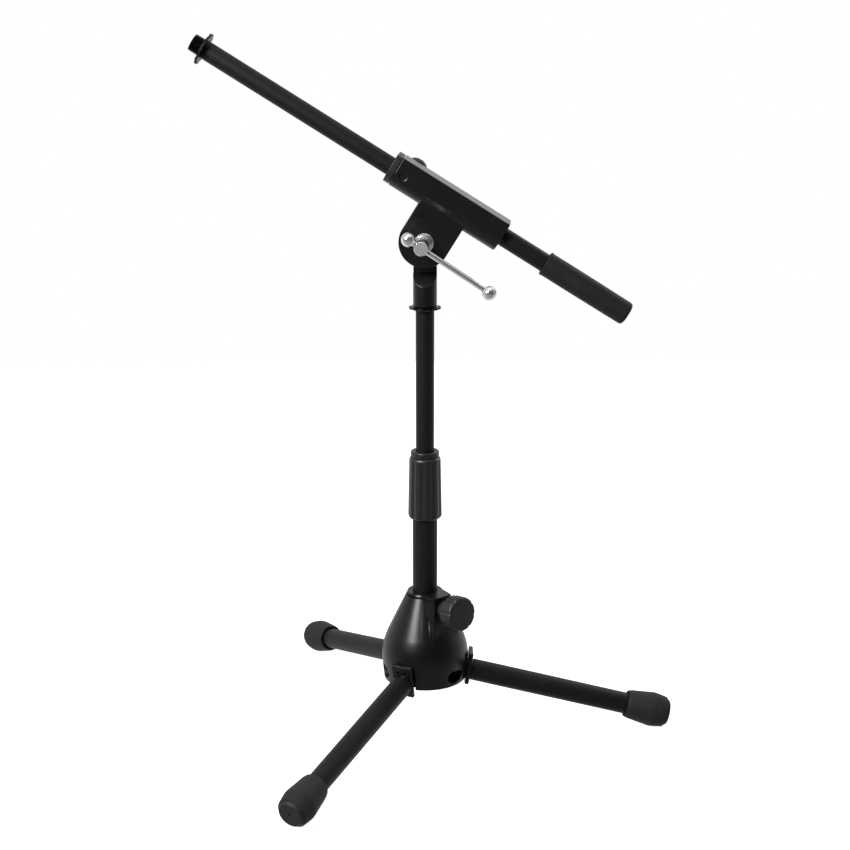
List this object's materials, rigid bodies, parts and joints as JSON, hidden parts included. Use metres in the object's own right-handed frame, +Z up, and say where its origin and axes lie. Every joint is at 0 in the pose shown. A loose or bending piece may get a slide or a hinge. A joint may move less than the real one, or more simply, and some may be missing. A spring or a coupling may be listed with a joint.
{
  "type": "boom microphone stand",
  "caption": "Low microphone stand with a folding tripod base, a height-adjustable column and a tilting boom arm.",
  "frame": {"origin": "centre of the part's box, on the floor that the rubber feet stand on", "axes": "+Z up along the column; +X along one leg; the boom's grip end points 5.1 degrees off +X towards -Y and its threaded end points to -X, 31.6 degrees up"},
  "size_m": [0.4236, 0.3978, 0.6206],
  "materials": {
    "cast_black": "smooth semi-gloss black paint over a casting",
    "tube_black": "satin black powder coat on steel tube",
    "foot_rubber": "matt charcoal rubber",
    "grip_rubber": "finely textured matt rubber",
    "clutch_plastic": "moulded, fine grain",
    "knob_plastic": "moulded, fine grain",
    "inner_plastic": "moulded, fine grain",
    "chrome": "bright nickel-chrome plate",
    "zinc_steel": "zinc-plated steel",
    "black_steel": "blackened steel"
  },
  "bodies": {
    "base": {"hub_bell": "cast_black", "hub_pressure_pad": "inner_plastic", "hinge_pin_1": "zinc_steel", "hinge_pin_2": "zinc_steel", "hinge_pin_3": "zinc_steel"},
    "hub_screw": {"hub_knob": "knob_plastic", "hub_knob_stud": "zinc_steel"},
    "leg_1": {"leg_knuckle_1": "cast_black", "leg_tube_1": "tube_black", "leg_foot_1": "foot_rubber"},
    "leg_2": {"leg_knuckle_2": "cast_black", "leg_tube_2": "tube_black", "leg_foot_2": "foot_rubber"},
    "leg_3": {"leg_knuckle_3": "cast_black", "leg_tube_3": "tube_black", "leg_foot_3": "foot_rubber"},
    "column": {"outer_tube": "tube_black", "column_end_cap": "inner_plastic", "clutch_insert": "inner_plastic", "clutch_collet": "clutch_plastic"},
    "clutch": {"clutch_sleeve": "clutch_plastic"},
    "mast": {"inner_tube": "tube_black", "inner_tube_bush": "inner_plastic", "mast_thread_insert": "zinc_steel"},
    "stem_ring": {"stem_lock_ring": "black_steel"},
    "stem": {"swivel_stem": "cast_black", "friction_disc": "foot_rubber", "pivot_nut": "zinc_steel"},
    "tbar": {"tbar_hub": "chrome", "tbar_washer": "chrome"},
    "tbar_bar": {"tbar_rod": "chrome", "tbar_ball_near": "chrome", "tbar_ball_far": "chrome"},
    "clamp": {"clamp_body": "cast_black", "clamp_cover": "cast_black", "front_bush": "inner_plastic", "rear_bush": "inner_plastic", "boom_shoe": "inner_plastic"},
    "boom_screw": {"boom_knob": "knob_plastic", "boom_knob_stud": "zinc_steel"},
    "boom": {"boom_tube": "tube_black", "boom_grip": "grip_rubber", "boom_counterweight": "zinc_steel", "boom_thread_insert": "black_steel"},
    "boom_ring": {"boom_lock_ring": "black_steel"}
  },
  "joints": [
    {"name": "leg_1_fold", "type": "hinge", "parent": "base", "child": "leg_1", "pos_m": [0.01289, 0, 0.05949], "axis": [0, 1, 0], "range_deg": [0, 76]},
    {"name": "leg_2_fold", "type": "hinge", "parent": "base", "child": "leg_2", "pos_m": [-0.02701, 0.02304, 0.05949], "axis": [-0.866, -0.5, 0], "range_deg": [0, 76]},
    {"name": "leg_3_fold", "type": "hinge", "parent": "base", "child": "leg_3", "pos_m": [-0.02701, -0.02304, 0.05949], "axis": [0.866, -0.5, 0], "range_deg": [0, 76]},
    {"name": "hub_knob_turn", "type": "hinge", "parent": "base", "child": "hub_screw", "pos_m": [-0.01371, 0, 0.1179], "axis": [0.6287, -0.7681, 0.1219], "range_deg": [0, 360]},
    {"name": "column_lift", "type": "slide", "parent": "base", "child": "column", "axis": [0, 0, 1], "range_m": [0, 0.024]},
    {"name": "clutch_twist", "type": "hinge", "parent": "column", "child": "clutch", "pos_m": [-0.01371, 0, 0.23], "axis": [0, 0, 1], "range_deg": [0, 120]},
    {"name": "height", "type": "slide", "parent": "column", "child": "mast", "axis": [0, 0, 1], "range_m": [-0.122, 0.04]},
    {"name": "stem_ring_turn", "type": "hinge", "parent": "mast", "child": "stem_ring", "pos_m": [-0.01371, 0, 0.391], "axis": [0, 0, 1], "continuous": true},
    {"name": "boom_pan", "type": "hinge", "parent": "mast", "child": "stem", "pos_m": [-0.01371, 0, 0.4], "axis": [0, 0, 1], "continuous": true},
    {"name": "boom_tilt", "type": "hinge", "parent": "stem", "child": "clamp", "pos_m": [-0.01371, 0, 0.4486], "axis": [0.0889, 0.996, 0], "range_deg": [-61.5, 58.4]},
    {"name": "boom_knob_turn", "type": "hinge", "parent": "clamp", "child": "boom_screw", "pos_m": [-0.02263, 0.02288, 0.50531], "axis": [0.0889, 0.996, 0], "range_deg": [0, 360]},
    {"name": "boom_slide", "type": "slide", "parent": "clamp", "child": "boom", "axis": [-0.8486, 0.0757, 0.5235], "range_m": [-0.18, 0.042]},
    {"name": "boom_ring_turn", "type": "hinge", "parent": "boom", "child": "boom_ring", "pos_m": [-0.19827, 0.01647, 0.60776], "axis": [-0.8486, 0.0757, 0.5235], "continuous": true},
    {"name": "tbar_turn", "type": "hinge", "parent": "stem", "child": "tbar", "pos_m": [-0.01637, -0.02988, 0.4486], "axis": [-0.0889, -0.996, 0], "range_deg": [-180, 180]},
    {"name": "tbar_slide", "type": "slide", "parent": "tbar", "child": "tbar_bar", "axis": [-0.8354, 0.0746, 0.5446], "range_m": [0, 0.054]}
  ]
}
